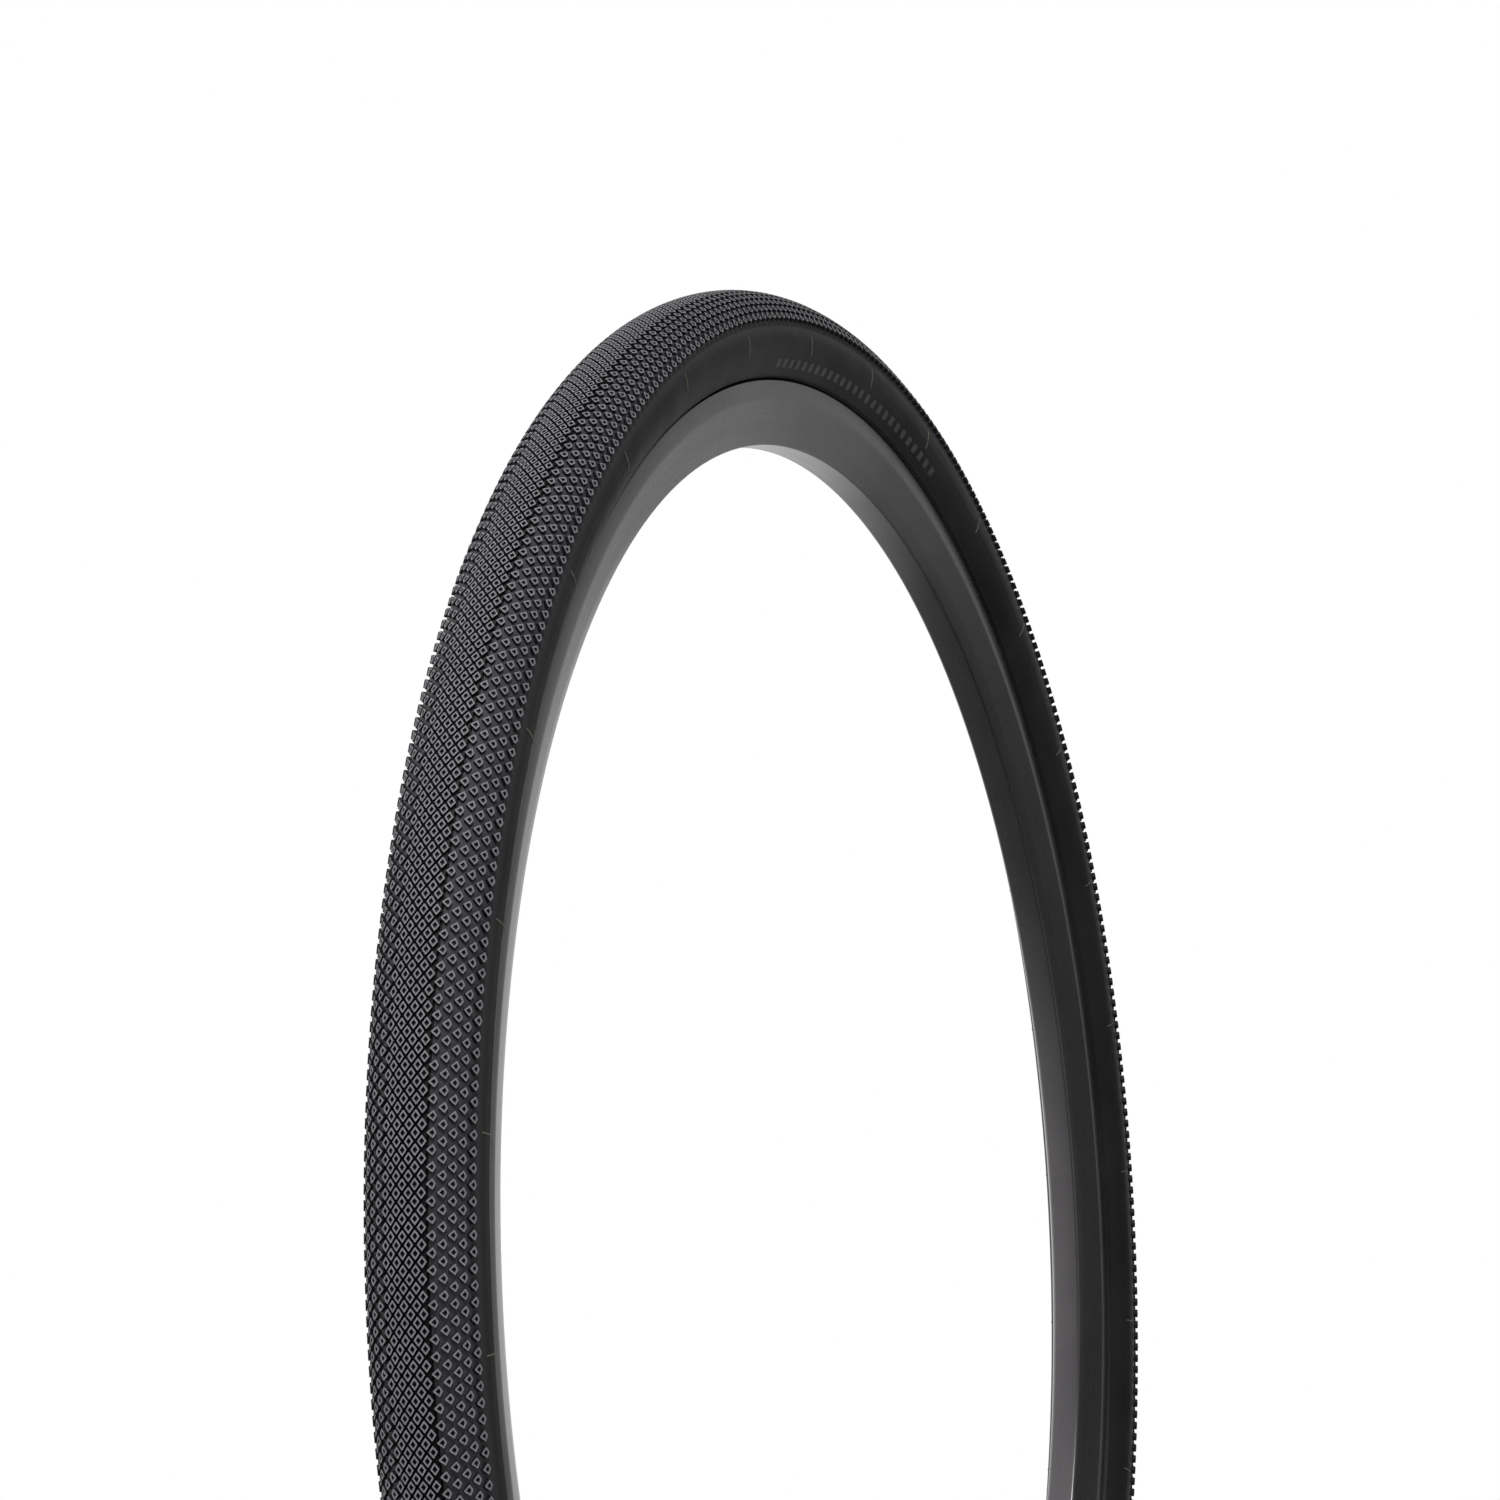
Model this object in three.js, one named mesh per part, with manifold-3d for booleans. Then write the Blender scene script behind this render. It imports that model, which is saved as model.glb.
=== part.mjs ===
// Bicycle gravel tire, 38-622 (700 x 38C), mounted and inflated on its rim with a Presta inner tube.
// Units are millimetres. The wheel centre is the origin, the axle runs along +Y and +Z is up.
// With +X forward the left side is +Y. The valve stands at the bottom and points up at the hub.

import * as THREE from 'three';
import { mergeVertices } from 'three/addons/utils/BufferGeometryUtils.js';
import Module from 'manifold-3d';

const wasm = await Module();
wasm.setup();

// ---- Driving dimensions -------------------------------------------------------------------------

// Every ring has the same flats, and each flat touches the true circle at its middle.
const ringSegments = 36;
const valveHoleSegments = 12;
const halfSegment = Math.PI / ringSegments;
const facetScale = 1 / Math.cos(halfSegment);
const gap = 0.3;
const drillOvershoot = 1;
const windowDepth = 40;

// The tire's section is an ellipse around this point of the wheel's radius.
const sectionRadius = 331.26;
const sectionStep = 25;
const treadHalfWidth = 19.65;
const treadHalfHeight = 19.19;
const knobHeight = 1.8;
const treadBase = 0.6;
const breakerThickness = 0.5;
const casingThickness = 1.0;
const tubeWall = 0.9;
const treadEdgeAngle = 75;
const crownFlatAngle = 10;
const breakerEdgeAngle = 50;
const sidewallTopAngle = 76.5;
const sidewallLipAngle = 140;
const sidewallFootAngle = 148;
const plyEdgeAngle = 150;

// The double-wall aluminium rim: spoke bed, slanted sides, upright flanges, bead seats and well.
const bedRadius = 293.65;
const bedHalfWidth = 5.5;
const flangeFootRadius = 309.96;
const flangeTopRadius = 317;
const rimHalfWidth = 11.13;
const flangeThickness = 1.6;
const seatRadius = 311;
const seatInnerEdge = 4.9;
const wellRadius = 308;
const wellHalfWidth = 4.2;
const bedThickness = 1.8;
const rimWall = 1.4;
const rimJointAngle = -24;
const rimSleeveLength = 34;

// The bead: a core in a pocket of the folded casing, with a chafer strip between it and the rim.
const chaferThickness = 0.5;
const plyFoldThickness = 0.6;
const beadPocketWidth = 2.6;
const beadCoreHeight = 2.6;
const foldTopRadius = 316.2;
const neckTopRadius = 316.2;

// The Presta valve, on an axis that runs from the tire's bottom towards the hub.
const tapeThickness = 0.5;
const tapeHalfWidth = 3.9;
const patchThickness = 1.0;
const patchHalfWidth = 3.6;
const patchLength = 30;
const stemRadius = 2.9;
const stemNeckRadius = 2.3;
const stemFootRadius = 3.1;
const stemFootThickness = 1.0;
const stemBoreRadius = 1.8;
const stemTop = -271;
const coreSocketRadius = 2.3;
const coreSocketDepth = 12;
const coreHeadRadius = 2.6;
const coreHeadHeight = 4.2;
const coreHeadFlats = 4.2;
const coreFlangeHeight = 1;
const coreBoreRadius = 0.95;
const plungerRadius = 0.65;
const plungerHeadRadius = 1.3;
const plungerHeadHeight = 0.8;
const plungerTop = -258.5;
const sealRadius = 1.5;
const sealHeight = 2.2;
const sealBevel = 0.3;
const tipNutRadius = 1.75;
const tipNutHeight = 3.0;
const lockNutRadius = 5.0;
const lockNutHeight = 3.5;
const lockNutBevel = 1;
const capRadius = 3.9;
const capBoreRadius = 3.2;
const capBottom = -277;
const capTop = -255.5;
const capTopThickness = 1.2;
const capTopRadius = 2.6;
const capTaperHeight = 6.5;

// ---- Derived sizes ------------------------------------------------------------------------------

// Depths below the knob tops at which the nested layers of the tire begin.
const sidewallDepth = knobHeight;
const treadInnerDepth = knobHeight + treadBase;
const breakerDepth = treadInnerDepth + gap;
const breakerInnerDepth = breakerDepth + breakerThickness;
const casingDepth = breakerInnerDepth + gap;
const casingInnerDepth = casingDepth + casingThickness;
const tubeDepth = casingInnerDepth + gap;
const tubeInnerDepth = tubeDepth + tubeWall;

// Positions across the bead, from the flange inwards.
const flangeInner = rimHalfWidth - flangeThickness;
const chaferOuter = flangeInner - gap;
const chaferInner = chaferOuter - chaferThickness;
const foldOuter = chaferInner - gap;
const foldInner = foldOuter - plyFoldThickness;
const legOuter = foldInner - beadPocketWidth;
const legInner = legOuter - plyFoldThickness;
const tubeNeck = legInner - gap;
const chaferBottom = seatRadius + gap;
const chaferTop = flangeTopRadius - gap / 3;
const foldBottom = chaferBottom + chaferThickness + gap;
const pocketBottom = foldBottom + plyFoldThickness;
const coreBottom = pocketBottom + gap;

// Radii down the well, from the rim to the tube.
const tapeBottom = wellRadius + gap;
const tapeTop = tapeBottom + tapeThickness;
const patchBottom = tapeTop + gap;
const patchTop = patchBottom + patchThickness;
const tubeBottom = patchTop + gap;
const tubeInnerBottom = tubeBottom + tubeWall;

// ---- Shape helpers ------------------------------------------------------------------------------

const radians = THREE.MathUtils.degToRad;

// Points [y, radius] of the section ellipse, a depth below the knob tops. Angle 0 is the crown.
// Every layer has its corners at the same multiples of sectionStep, so neighbours stay parallel.
function sectionArc(depth, fromDegrees, toDegrees) {
  const angles = [fromDegrees];
  for (let i = Math.floor(fromDegrees / sectionStep) + 1; i * sectionStep < toDegrees; i += 1) {
    angles.push(i * sectionStep);
  }
  angles.push(toDegrees);
  return angles.map((degrees) => {
    const y = (treadHalfWidth - depth) * Math.sin(radians(degrees));
    const radius = sectionRadius + (treadHalfHeight - depth) * Math.cos(radians(degrees));
    return [y, radius];
  });
}

// The same points on the other side of the wheel's middle plane, in reverse order.
function mirrored(points) {
  return points.map(([y, radius]) => [-y, radius]).reverse();
}

// A closed ring around the axle from a profile of [y, radius] points.
function ring(profile) {
  const points = profile.map(([y, radius]) => new THREE.Vector2(radius * facetScale, y));
  if (THREE.ShapeUtils.area(points) < 0) {
    points.reverse();
  }
  points.push(points[0].clone());
  return new THREE.LatheGeometry(points, ringSegments, halfSegment);
}

// A body turned around the valve's axis from a profile of [radius, z] points.
// A profile with an edge along the axis is opened there, and any other closes on itself.
function turned(profile, segments) {
  const points = profile.map(([radius, z]) => new THREE.Vector2(radius, z));
  if (THREE.ShapeUtils.area(points) < 0) {
    points.reverse();
  }
  const count = points.length;
  const axisEdge = points.findIndex((point, i) => point.x === 0 && points[(i + 1) % count].x === 0);
  const start = (axisEdge + 1) % count;
  const outline = [...points.slice(start), ...points.slice(0, start)];
  if (axisEdge < 0) {
    outline.push(outline[0].clone());
  }
  const geometry = new THREE.LatheGeometry(outline, segments, Math.PI / segments);
  geometry.rotateX(Math.PI / 2);
  return geometry;
}

// A cylinder on the valve's axis that cuts a wall between two distances from the axle.
function drill(radius, innerWall, outerWall) {
  const length = outerWall - innerWall + 2 * drillOvershoot;
  const geometry = new THREE.CylinderGeometry(radius, radius, length, valveHoleSegments);
  geometry.rotateX(Math.PI / 2);
  geometry.translate(0, 0, -(innerWall + outerWall) / 2);
  return geometry;
}

function toSolid(geometry) {
  const plain = geometry.clone();
  plain.deleteAttribute('normal');
  plain.deleteAttribute('uv');
  const merged = mergeVertices(plain, 1e-4);
  const vertProperties = new Float32Array(merged.attributes.position.array);
  const triVerts = new Uint32Array(merged.index.array);
  return new wasm.Manifold(new wasm.Mesh({ numProp: 3, vertProperties, triVerts }));
}

function toGeometry(solid) {
  const mesh = solid.getMesh();
  const geometry = new THREE.BufferGeometry();
  geometry.setAttribute('position', new THREE.BufferAttribute(mesh.vertProperties, 3));
  geometry.setIndex(new THREE.BufferAttribute(mesh.triVerts, 1));
  const flat = geometry.toNonIndexed();
  flat.computeVertexNormals();
  return flat;
}

function cut(geometry, tools) {
  let solid = toSolid(geometry);
  for (const tool of tools) {
    solid = solid.subtract(toSolid(tool));
  }
  return toGeometry(solid);
}

function keepInside(geometry, box) {
  return toGeometry(toSolid(geometry).intersect(toSolid(box)));
}

// ---- Materials ----------------------------------------------------------------------------------

function finish(color, roughness, metalness) {
  return new THREE.MeshStandardMaterial({ color, roughness, metalness });
}

const treadRubber = finish(0x3a3a3d, 0.72, 0);
const sidewallRubber = finish(0x29292b, 0.55, 0);
const wovenNylon = finish(0x8c7a55, 0.8, 0);
const aramid = finish(0xb99a4a, 0.65, 0);
const chaferFabric = finish(0x1c1c1d, 0.85, 0);
const tubeRubber = finish(0x202022, 0.6, 0);
const tapeCloth = finish(0x2f5f8f, 0.7, 0);
const anodised = finish(0x6a676b, 0.38, 0.9);
const aluminium = finish(0xa9abad, 0.35, 0.95);
const nickelledBrass = finish(0xc9c6bb, 0.3, 0.95);
const brass = finish(0xb8974f, 0.35, 0.95);
const sealRubber = finish(0x161617, 0.6, 0);
const capPlastic = finish(0x1a1a1b, 0.45, 0);

// ---- The tire -----------------------------------------------------------------------------------

// The knobbed tread rubber, up to the knob tops, with a flat band along the crown.
function treadCap() {
  const outer = sectionArc(0, crownFlatAngle, treadEdgeAngle);
  outer[0][1] = sectionRadius + treadHalfHeight;
  const inner = sectionArc(treadInnerDepth, -treadEdgeAngle, treadEdgeAngle).reverse();
  return ring([...mirrored(outer), ...outer, ...inner]);
}

// The puncture belt under the tread.
function breakerBelt() {
  const outer = sectionArc(breakerDepth, -breakerEdgeAngle, breakerEdgeAngle);
  const inner = sectionArc(breakerInnerDepth, -breakerEdgeAngle, breakerEdgeAngle);
  return ring([...outer, ...inner.reverse()]);
}

// The casing ply runs from bead to bead, folds under each core and turns up beside it.
function casingPly() {
  const outerHalf = sectionArc(casingDepth, 0, plyEdgeAngle);
  const innerHalf = sectionArc(casingInnerDepth, 0, plyEdgeAngle).reverse();
  const hook = [
    [legOuter, neckTopRadius - gap],
    [legOuter, pocketBottom],
    [foldInner, pocketBottom],
    [foldInner, foldTopRadius],
    [foldOuter, foldTopRadius],
    [foldOuter, foldBottom],
    [legInner, foldBottom],
    [legInner, neckTopRadius],
  ];
  const half = [...outerHalf, ...hook, ...innerHalf];
  const otherHalf = mirrored(half).slice(1, -1);
  return ring([...half, ...otherHalf]);
}

// The side rubber from the tread's edge to the top of the rim flange. Side is 1 left, -1 right.
function sidewall(side) {
  const outer = sectionArc(sidewallDepth, sidewallTopAngle, sidewallLipAngle);
  const inner = sectionArc(breakerInnerDepth, sidewallTopAngle, sidewallFootAngle).reverse();
  const lip = [
    [chaferOuter, flangeTopRadius + gap],
    [chaferInner, flangeTopRadius + gap],
  ];
  const profile = [...outer, ...lip, ...inner];
  return ring(profile.map(([y, radius]) => [side * y, radius]));
}

// The inextensible hoop that holds the tire on the rim.
function beadCore(side) {
  const middle = (foldInner + legOuter) / 2;
  const halfWidth = beadPocketWidth / 2 - gap;
  const corner = halfWidth * 0.7;
  const top = coreBottom + beadCoreHeight;
  const profile = [
    [middle, coreBottom],
    [middle + halfWidth, coreBottom + corner],
    [middle + halfWidth, top - corner],
    [middle, top],
    [middle - halfWidth, top - corner],
    [middle - halfWidth, coreBottom + corner],
  ];
  return ring(profile.map(([y, radius]) => [side * y, radius]));
}

// The chafer strip that keeps the rim from wearing the casing at the bead.
function chafer(side) {
  const profile = [
    [chaferOuter, chaferTop],
    [chaferOuter, chaferBottom],
    [seatInnerEdge, chaferBottom],
    [seatInnerEdge, chaferBottom + chaferThickness],
    [chaferInner, chaferBottom + chaferThickness],
    [chaferInner, chaferTop],
  ];
  return ring(profile.map(([y, radius]) => [side * y, radius]));
}

// ---- Inner tube and rim tape --------------------------------------------------------------------

// The inflated tube fills the casing and reaches down between the beads to the well.
function innerTube() {
  const outerHalf = [
    ...sectionArc(tubeDepth, 0, plyEdgeAngle),
    [tubeNeck, neckTopRadius + gap],
    [tubeNeck, tubeBottom],
  ];
  const innerHalf = [
    ...sectionArc(tubeInnerDepth, 0, plyEdgeAngle),
    [tubeNeck - tubeWall, neckTopRadius + 2 * gap],
    [tubeNeck - tubeWall, tubeInnerBottom],
  ];
  const skin = ring([...outerHalf, ...mirrored(outerHalf).slice(0, -1)]);
  const air = ring([...innerHalf, ...mirrored(innerHalf).slice(0, -1)]);
  const valveHole = drill(stemNeckRadius + gap, tubeBottom, tubeInnerBottom);
  return cut(skin, [air, valveHole]);
}

function rimTape() {
  const strip = ring([
    [tapeHalfWidth, tapeBottom],
    [tapeHalfWidth, tapeTop],
    [-tapeHalfWidth, tapeTop],
    [-tapeHalfWidth, tapeBottom],
  ]);
  return cut(strip, [drill(stemRadius + gap, tapeBottom, tapeTop)]);
}

// ---- Rim ----------------------------------------------------------------------------------------

// How far the slanted side's inner face lies from the middle plane at a radius.
function slantInner(radius) {
  const slope = (rimHalfWidth - bedHalfWidth) / (flangeFootRadius - bedRadius);
  const wallAcross = rimWall * Math.hypot(1, slope);
  return bedHalfWidth + slope * (radius - bedRadius) - wallAcross;
}

// Half of the hollow chamber's outline, drawn in from its walls by a clearance.
function chamberHalf(clearance) {
  const low = bedRadius + bedThickness + clearance;
  const shoulder = seatRadius - rimWall - clearance;
  const ceiling = wellRadius - rimWall - clearance;
  return [
    [slantInner(low) - clearance, low],
    [slantInner(shoulder) - clearance, shoulder],
    [seatInnerEdge + rimWall + clearance, shoulder],
    [wellHalfWidth + rimWall + clearance, ceiling],
  ];
}

function chamber(clearance) {
  const half = chamberHalf(clearance);
  return ring([...half, ...mirrored(half)]);
}

// The rim is left undrilled for spokes: only the valve passes through it.
function rim() {
  const half = [
    [bedHalfWidth, bedRadius],
    [rimHalfWidth, flangeFootRadius],
    [rimHalfWidth, flangeTopRadius],
    [flangeInner, flangeTopRadius],
    [flangeInner, seatRadius],
    [seatInnerEdge, seatRadius],
    [wellHalfWidth, wellRadius],
  ];
  const section = ring([...half, ...mirrored(half)]);
  const valveHole = drill(stemRadius + gap, bedRadius, wellRadius);
  return cut(section, [chamber(0), valveHole]);
}

// The sleeve pressed into both ends of the bent extrusion where they meet.
function rimSleeve() {
  const window = new THREE.BoxGeometry(rimSleeveLength, 2 * rimHalfWidth, windowDepth);
  window.translate(0, 0, (bedRadius + wellRadius) / 2);
  window.rotateY(radians(rimJointAngle));
  return keepInside(chamber(gap), window);
}

// ---- Valve --------------------------------------------------------------------------------------

// The rubber patch bonded to the tube around the stem, lying in the well.
function valvePatch() {
  const strip = ring([
    [patchHalfWidth, patchBottom],
    [patchHalfWidth, patchTop],
    [-patchHalfWidth, patchTop],
    [-patchHalfWidth, patchBottom],
  ]);
  const window = new THREE.BoxGeometry(patchLength, 2 * rimHalfWidth, windowDepth);
  window.translate(0, 0, -patchBottom);
  const piece = keepInside(strip, window);
  return cut(piece, [drill(stemNeckRadius + gap, patchBottom, patchTop)]);
}

// The stem's foot lies inside the tube and its shoulder outside the patch.
function valveStem() {
  const footTop = -tubeInnerBottom - gap;
  const footBottom = footTop - stemFootThickness;
  const shoulder = -tapeTop;
  return turned([
    [stemFootRadius, footBottom],
    [stemFootRadius, footTop],
    [stemNeckRadius, footTop],
    [stemNeckRadius, shoulder],
    [stemRadius, shoulder],
    [stemRadius, stemTop],
    [coreSocketRadius, stemTop],
    [coreSocketRadius, stemTop - coreSocketDepth],
    [stemBoreRadius, stemTop - coreSocketDepth],
    [stemBoreRadius, footBottom],
  ], 16);
}

const coreBodyBottom = stemTop - coreSocketDepth + gap;
const coreHeadBottom = stemTop + gap;
const coreHeadTop = coreHeadBottom + coreHeadHeight;
const sealTop = coreBodyBottom - gap;
const sealBottom = sealTop - sealHeight;

// The screwed-in core, with two flats on its head for the core wrench.
function coreBody() {
  const body = turned([
    [coreSocketRadius - gap, coreBodyBottom],
    [coreSocketRadius - gap, coreHeadBottom],
    [coreHeadRadius, coreHeadBottom],
    [coreHeadRadius, coreHeadTop],
    [coreBoreRadius, coreHeadTop],
    [coreBoreRadius, coreBodyBottom],
  ], 16);
  const flats = [1, -1].map((side) => {
    const block = new THREE.BoxGeometry(4 * coreHeadRadius, coreHeadRadius, coreHeadHeight);
    const across = side * (coreHeadFlats + coreHeadRadius) / 2;
    block.translate(0, across, coreHeadTop - coreHeadHeight / 2 + coreFlangeHeight);
    return block;
  });
  return cut(body, flats);
}

// The threaded rod through the core, with a head below its seal.
function plunger() {
  const headTop = sealBottom - gap;
  const headBottom = headTop - plungerHeadHeight;
  return turned([
    [0, headBottom],
    [plungerHeadRadius, headBottom],
    [plungerHeadRadius, headTop],
    [plungerRadius, headTop],
    [plungerRadius, plungerTop],
    [0, plungerTop],
  ], 12);
}

function plungerSeal() {
  return turned([
    [sealRadius, sealBottom],
    [sealRadius, sealTop - sealBevel],
    [sealRadius - sealBevel, sealTop],
    [coreBoreRadius, sealTop],
    [coreBoreRadius, sealBottom],
  ], 12);
}

// The small knurled nut that locks the plunger against the top of the core.
function tipNut() {
  const bottom = coreHeadTop + gap;
  return turned([
    [tipNutRadius, bottom],
    [tipNutRadius, bottom + tipNutHeight],
    [coreBoreRadius, bottom + tipNutHeight],
    [coreBoreRadius, bottom],
  ], 12);
}

// The knurled ring nut that holds the stem against the spoke bed.
function lockNut() {
  const bottom = -bedRadius + gap;
  const top = bottom + lockNutHeight;
  return turned([
    [lockNutRadius, bottom],
    [lockNutRadius, top - lockNutBevel],
    [lockNutRadius - lockNutBevel, top],
    [stemRadius + gap, top],
    [stemRadius + gap, bottom],
  ], 16);
}

// The screw-on dust cap, tapered towards its closed top.
function valveCap() {
  const taperBottom = capTop - capTaperHeight;
  return turned([
    [capBoreRadius, capBottom],
    [capRadius, capBottom],
    [capRadius, taperBottom],
    [capTopRadius, capTop],
    [0, capTop],
    [0, capTop - capTopThickness],
    [capTopRadius - capTopThickness, capTop - capTopThickness],
    [capBoreRadius, taperBottom - capTopThickness],
  ], 16);
}

// ---- Assembly -----------------------------------------------------------------------------------

const assembly = new THREE.Group();

function add(name, geometry, material) {
  const mesh = new THREE.Mesh(geometry, material);
  mesh.name = name;
  assembly.add(mesh);
}

add('tread_cap', treadCap(), treadRubber);
add('breaker_belt', breakerBelt(), aramid);
add('casing_ply', casingPly(), wovenNylon);
for (const [hand, side] of [['left', 1], ['right', -1]]) {
  add(`sidewall_${hand}`, sidewall(side), sidewallRubber);
  add(`bead_core_${hand}`, beadCore(side), aramid);
  add(`chafer_${hand}`, chafer(side), chaferFabric);
}
add('inner_tube', innerTube(), tubeRubber);
add('rim_tape', rimTape(), tapeCloth);
add('rim', rim(), anodised);
add('rim_joint_sleeve', rimSleeve(), aluminium);
add('valve_patch', valvePatch(), tubeRubber);
add('valve_stem', valveStem(), nickelledBrass);
add('valve_core_body', coreBody(), brass);
add('valve_plunger', plunger(), brass);
add('valve_plunger_seal', plungerSeal(), sealRubber);
add('valve_tip_nut', tipNut(), brass);
add('valve_lock_nut', lockNut(), nickelledBrass);
add('valve_cap', valveCap(), capPlastic);

export default assembly;
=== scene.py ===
"""Looks for a gravel bicycle tire mounted on its rim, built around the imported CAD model.

Shapes are worked out in millimetres and turned into metres when a mesh is made.
The wheel centre is the origin, the axle runs along +Y and +Z is up.
"""

import math
import random

import bmesh
import bpy
import numpy as np
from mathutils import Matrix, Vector

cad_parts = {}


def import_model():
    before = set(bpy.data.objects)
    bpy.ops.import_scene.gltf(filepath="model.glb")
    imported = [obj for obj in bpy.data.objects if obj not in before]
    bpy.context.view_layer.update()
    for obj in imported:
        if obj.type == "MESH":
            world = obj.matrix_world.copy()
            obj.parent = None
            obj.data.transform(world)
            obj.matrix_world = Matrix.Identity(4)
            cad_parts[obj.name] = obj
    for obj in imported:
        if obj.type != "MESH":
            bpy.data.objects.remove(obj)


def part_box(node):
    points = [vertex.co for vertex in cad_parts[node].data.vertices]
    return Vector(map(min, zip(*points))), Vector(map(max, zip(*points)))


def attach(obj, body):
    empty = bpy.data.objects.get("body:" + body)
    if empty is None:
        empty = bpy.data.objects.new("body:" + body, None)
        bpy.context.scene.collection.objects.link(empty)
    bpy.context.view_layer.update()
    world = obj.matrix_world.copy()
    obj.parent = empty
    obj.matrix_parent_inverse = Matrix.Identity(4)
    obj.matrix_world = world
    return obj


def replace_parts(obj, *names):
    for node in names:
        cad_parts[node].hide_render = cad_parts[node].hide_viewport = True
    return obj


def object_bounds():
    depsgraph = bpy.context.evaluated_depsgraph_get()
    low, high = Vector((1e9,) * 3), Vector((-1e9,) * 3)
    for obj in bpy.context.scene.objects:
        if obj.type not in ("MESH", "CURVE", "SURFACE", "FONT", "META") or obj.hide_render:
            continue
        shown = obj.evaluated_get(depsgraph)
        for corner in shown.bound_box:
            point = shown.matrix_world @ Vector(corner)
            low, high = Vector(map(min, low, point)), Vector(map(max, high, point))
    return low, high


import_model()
cad_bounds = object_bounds()

# ---- Driving dimensions, in millimetres unless a comment says degrees ------------------------------

MM = 0.001
WELD_DISTANCE = 1e-6


def cad_size(node, axis):
    """The far side of a CAD node along "x", "y" or "z", in millimetres."""
    return getattr(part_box(node)[1], axis) / MM


def cad_span(node):
    """The lowest and highest point of a CAD node, in millimetres."""
    low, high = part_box(node)
    return low.z / MM, high.z / MM


# The tire's section is an ellipse a little wider than it is high, centred SECTION_RADIUS from the axle.
# Its knob tops reach the CAD tread's outer radius.
TREAD_RADIUS = cad_size("tread_cap", "z")
SECTION_RADIUS = 331.26
EXTRA_HALF_WIDTH = 0.46
HALF_HEIGHT = TREAD_RADIUS - SECTION_RADIUS
HALF_WIDTH = HALF_HEIGHT + EXTRA_HALF_WIDTH
MEAN_HALF = (HALF_HEIGHT + HALF_WIDTH) / 2

# The rubber between the knobs, as depths under the knob tops.
BASE_DEPTH = 1.8
CROWN_DEPTH = 1.3
SHOULDER_DEPTH = 1.15

# Edges of the rubber, as angles from the crown in degrees.
CROWN_EDGE = 20.9
SHOULDER_START = CROWN_EDGE + 2.6
SHOULDER_END = 62.0
TREAD_EDGE = 75.0
LIP_ANGLE = 140.0
SIDE_INNER_EDGE = 148.0

# Knob lattice: rows around the wheel, and columns across the tread, half a row apart in turn.
# The crown has a column in the middle and CROWN_COLUMNS on each side of it. Shoulder columns are
# angles from the crown in degrees, with how far each one's knobs rise above the others.
ROWS = 437
CROWN_COLUMNS = 3
CROWN_SPACING = 1.96
SHOULDER_ANGLES = [25.5, 35.0, 44.4, 54.0, 64.4]
SHOULDER_RISES = [0.0, 0.0, 0.0, -0.15, 0.2]

# Rubber hairs: how many, where on the shoulders as angles from the crown in degrees, their radii from
# root to tip, and how deep the root is sunk.
VENT_HAIRS = 64
HAIR_ANGLES = (49.5, 59.0, 69.5)
HAIR_RADII = (0.26, 0.2, 0.13)
HAIR_ROOT = 0.2

# Marks on the sidewalls, in degrees: the bands are angles from the crown, the rest runs around the wheel.
# TICK_OFFSET is a share of their spacing.
PRINT_BAND = (115.0, 126.0)
PRINT_CENTRES = (0.0, 180.0)
PRINT_DASHES = 26
PRINT_PITCH = 1.2
TICK_BAND = (83.0, 107.0)
MOULD_TICKS = 32
TICK_SPACING = 360 / MOULD_TICKS
TICK_OFFSET = 0.11
TICK_WIDTH = 0.09

# Moulded ribs on the sidewall, as (angle from the crown, height, width in degrees).
SIDE_RIBS = [(97.0, 0.10, 0.6), (100.5, 0.10, 0.6), (137.6, 0.34, 1.1)]

# Layers below the tread, as depths under the knob tops, with their edges in degrees from the crown.
TREAD_INNER = 2.4
BREAKER = (2.7, 3.2)
CASING = (3.5, 4.5)
TUBE = (4.8, 5.7)
BREAKER_EDGE = 50.0
PLY_EDGE = 150.0

# Rim, from the CAD node's box and the section of the extrusion. SLANT_BEND is a (y, radius) point of its
# slanted side, and RIM_JOINT_ANGLE is in degrees from the top.
FLANGE_TOP = cad_size("rim", "z")
RIM_HALF_WIDTH = cad_size("rim", "y")
FLANGE_HEIGHT = 7.04
RIM_DEPTH = 23.35
FLANGE_FOOT = FLANGE_TOP - FLANGE_HEIGHT
BED_RADIUS = FLANGE_TOP - RIM_DEPTH
BED_HALF_WIDTH = 5.5
SLANT_BEND = (7.62, 299.3)
FLANGE_THICKNESS = 1.6
SEAT_RADIUS = 311.0
SEAT_INNER_EDGE = 4.9
WELL_RADIUS = 308.0
WELL_HALF_WIDTH = 4.2
BED_THICKNESS = 1.8
RIM_WALL = 1.4
RIM_JOINT_ANGLE = -24.0
RIM_JOINT_GAP = 0.14
RIM_SLEEVE_LENGTH = 34.0

# Clearance between pieces that lie against each other.
GAP = 0.3

# The bead, from the flange inwards: cloth strip, ply folded up, pocket for the core, ply coming down.
CHAFER_THICKNESS = 0.5
PLY_THICKNESS = 0.6
POCKET_WIDTH = 2.6
CORE_HEIGHT = 2.6
CHAFER_OUTER = RIM_HALF_WIDTH - FLANGE_THICKNESS - GAP
CHAFER_INNER = CHAFER_OUTER - CHAFER_THICKNESS
FOLD_OUTER = CHAFER_INNER - GAP
FOLD_INNER = FOLD_OUTER - PLY_THICKNESS
LEG_OUTER = FOLD_INNER - POCKET_WIDTH
LEG_INNER = LEG_OUTER - PLY_THICKNESS
TUBE_NECK = LEG_INNER - GAP
BEAD_TOP = 316.2
CHAFER_BOTTOM = SEAT_RADIUS + GAP
FOLD_BOTTOM = CHAFER_BOTTOM + CHAFER_THICKNESS + GAP
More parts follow.
